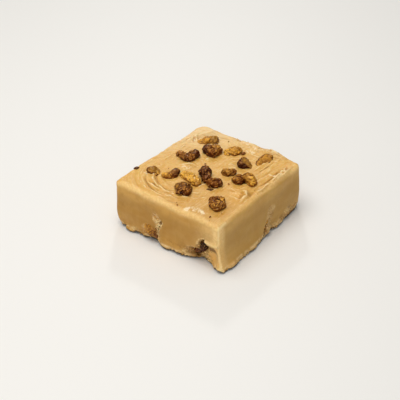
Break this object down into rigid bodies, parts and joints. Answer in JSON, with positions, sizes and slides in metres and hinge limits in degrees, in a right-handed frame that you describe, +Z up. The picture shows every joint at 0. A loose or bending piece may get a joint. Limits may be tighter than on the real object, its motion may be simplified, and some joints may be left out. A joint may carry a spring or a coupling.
{
  "type": "walnut fudge",
  "caption": "Squarish knife-cut slice of creamy walnut fudge, with chopped walnut pieces pressed into its swirled top and crumbly broken spots along its foot.",
  "frame": {"origin": "on the flat underside, below the middle of the top", "axes": "+Z up out of the walnut-covered top, -Y out of the cut face on the picture's left, +X out of the cut face on its right"},
  "size_m": [0.065, 0.0677, 0.0292],
  "materials": {
    "fudge": "creamy, smooth where the knife went, soft sheen",
    "walnut_dark": "dark brown wrinkled skin, slightly oily",
    "walnut_brown": "brown wrinkled skin, slightly oily",
    "walnut_pale": "tan skin and pale broken flesh",
    "walnut_amber": "golden, half translucent, smeared with fudge"
  },
  "bodies": {
    "root": {"fudge_slice": "fudge", "walnut_crescent": "walnut_dark", "walnut_twin": "walnut_dark", "walnut_sunk": "walnut_pale", "walnut_amber": "walnut_amber", "walnut_wedge": "walnut_dark", "walnut_oval": "walnut_amber", "walnut_small": "walnut_brown", "walnut_split_left": "walnut_brown", "walnut_split_right": "walnut_pale", "walnut_long": "walnut_dark", "walnut_pentagon": "walnut_brown", "walnut_heart": "walnut_brown", "walnut_striped": "walnut_pale", "walnut_hook": "walnut_amber", "walnut_cluster": "walnut_amber", "walnut_left_face": "walnut_pale", "walnut_notch": "walnut_dark", "walnut_right_face": "walnut_pale", "walnut_back_face": "walnut_brown", "walnut_far_face": "walnut_pale"}
  },
  "joints": []
}
